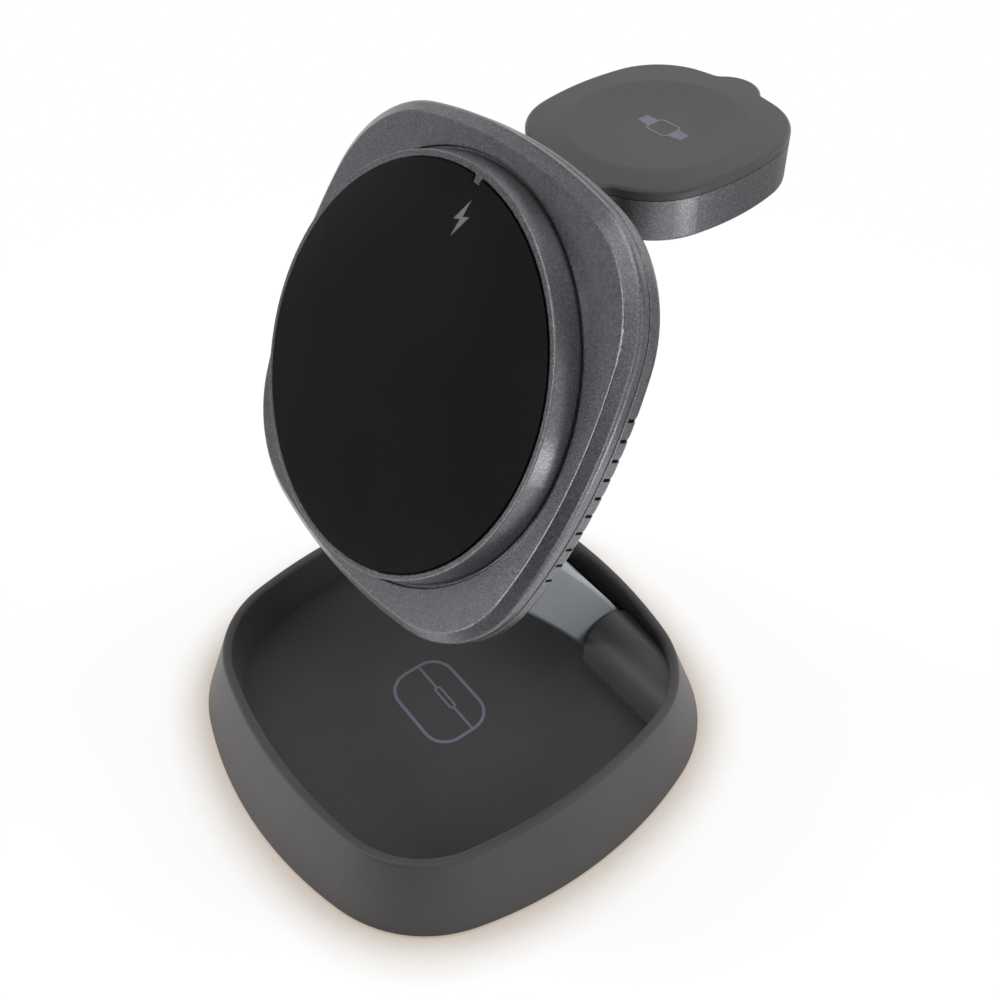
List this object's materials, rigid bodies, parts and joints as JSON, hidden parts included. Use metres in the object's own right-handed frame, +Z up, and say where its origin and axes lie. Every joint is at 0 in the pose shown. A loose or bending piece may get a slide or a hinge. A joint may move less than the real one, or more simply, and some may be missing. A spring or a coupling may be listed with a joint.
{
  "type": "three in one wireless charger",
  "caption": "Folding wireless charging stand: tray base for an earbud case, bowed arm, tilting rounded-square phone pad with a round magnetic disc, and a fold-out watch pad.",
  "frame": {"origin": "middle of the underside of the foot pad, on the table", "axes": "+Z up, -Y towards the user, +Y to the back with the power inlet, all hinge axes along X"},
  "size_m": [0.09, 0.1061, 0.1139],
  "materials": {
    "tray_plastic": "satin moulded plastic, near black",
    "flake_plastic": "dark grey satin plastic with fine metal flake",
    "lid_plastic": "soft matt plastic, dark warm grey",
    "arm_plastic": "satin bluish grey",
    "disc_gloss": "glossy black",
    "foot_rubber": "matt black silicone",
    "plain_steel": "zinc plated",
    "coil_copper": "enamelled copper strand",
    "ferrite": "dull sintered grey",
    "magnet_nickel": "nickel plated",
    "board_laminate": "green solder mask",
    "inner_plastic": "black moulded plastic"
  },
  "bodies": {
    "base": {"base_tray": "tray_plastic", "base_bottom_plate": "plain_steel", "base_foot_pad": "foot_rubber", "base_screws": "plain_steel", "earbuds_coil": "coil_copper", "earbuds_ferrite": "ferrite", "inlet_board": "board_laminate", "usb_c_socket": "plain_steel", "usb_c_tongue": "inner_plastic", "base_hinge_pin": "plain_steel", "base_hinge_keeper": "plain_steel", "base_keeper_screws": "plain_steel", "base_hinge_washers": "plain_steel"},
    "arm": {"arm_shell": "arm_plastic", "arm_back_cover": "arm_plastic", "arm_screws": "plain_steel", "arm_flat_cable": "inner_plastic"},
    "pad": {"pad_front_frame": "flake_plastic", "pad_disc": "disc_gloss", "pad_carrier": "inner_plastic", "pad_magnets": "magnet_nickel", "pad_ferrite": "ferrite", "pad_coil": "coil_copper", "pad_board": "board_laminate", "pad_rear_cover": "flake_plastic", "pad_screws": "plain_steel", "pad_hinge_pin": "plain_steel", "pad_hinge_washers": "plain_steel", "watch_hinge_washers": "plain_steel"},
    "watch": {"watch_top_cover": "lid_plastic", "watch_lower_shell": "flake_plastic", "watch_coil": "coil_copper", "watch_magnet": "magnet_nickel", "watch_ferrite": "ferrite", "watch_board": "board_laminate", "watch_screws": "plain_steel", "watch_hinge_pin": "plain_steel"}
  },
  "joints": [
    {"name": "arm_hinge", "type": "hinge", "parent": "base", "child": "arm", "pos_m": [0, 0.0304, 0.0082], "axis": [1, 0, 0], "range_deg": [-30, 15]},
    {"name": "pad_hinge", "type": "hinge", "parent": "arm", "child": "pad", "pos_m": [0, -0.00601, 0.05652], "axis": [1, 0, 0], "range_deg": [-45, 20]},
    {"name": "watch_hinge", "type": "hinge", "parent": "pad", "child": "watch", "pos_m": [0, 0.01951, 0.10252], "axis": [1, 0, 0], "range_deg": [-118, 54]}
  ]
}
